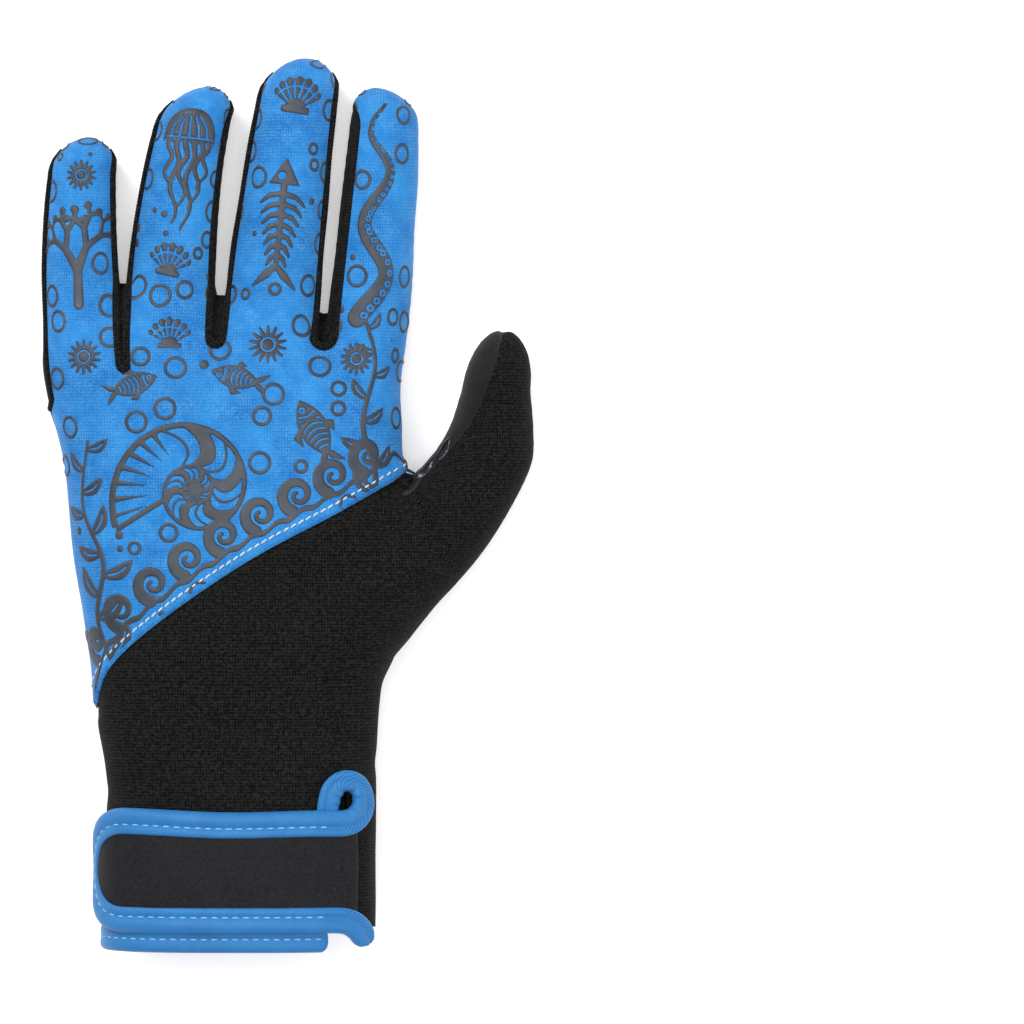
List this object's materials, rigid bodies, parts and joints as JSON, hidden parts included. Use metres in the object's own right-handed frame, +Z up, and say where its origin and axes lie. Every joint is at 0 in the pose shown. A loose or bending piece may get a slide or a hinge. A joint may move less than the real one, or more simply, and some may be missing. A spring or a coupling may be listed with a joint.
{
  "type": "diving glove",
  "caption": "Left-hand neoprene diving glove lying palm down, hollow, cut in panels, with finger gussets, a wrist strap and taped edges.",
  "frame": {"origin": "on the floor under the middle of the glove's bounding box, palm side down", "axes": "+Y runs from the hem to the fingertips, +X to the thumb's side, +Z up out of the back of the hand"},
  "size_m": [0.138, 0.2502, 0.0384],
  "materials": {
    "blue_neoprene": "fine knit, matte, with a raised charcoal print",
    "black_neoprene": "fine knit, matte",
    "suede": "short nap, matte, with a gloss black print",
    "strap_cloth": "smooth, half matte",
    "blue_tape": "satin twill binding",
    "print": "raised rubber print, half gloss",
    "thread": "twisted sewing thread"
  },
  "bodies": {
    "root": {"back_panel": "blue_neoprene", "gauntlet_panel": "black_neoprene", "palm_panel": "suede", "gusset_little_ring": "black_neoprene", "gusset_ring_middle": "black_neoprene", "gusset_middle_index": "black_neoprene", "gusset_little_side": "black_neoprene", "wrist_strap": "strap_cloth", "strap_binding": "blue_tape", "cuff_binding": "blue_tape", "vent_loop": "blue_tape", "binding_tail": "blue_tape"}
  },
  "joints": []
}
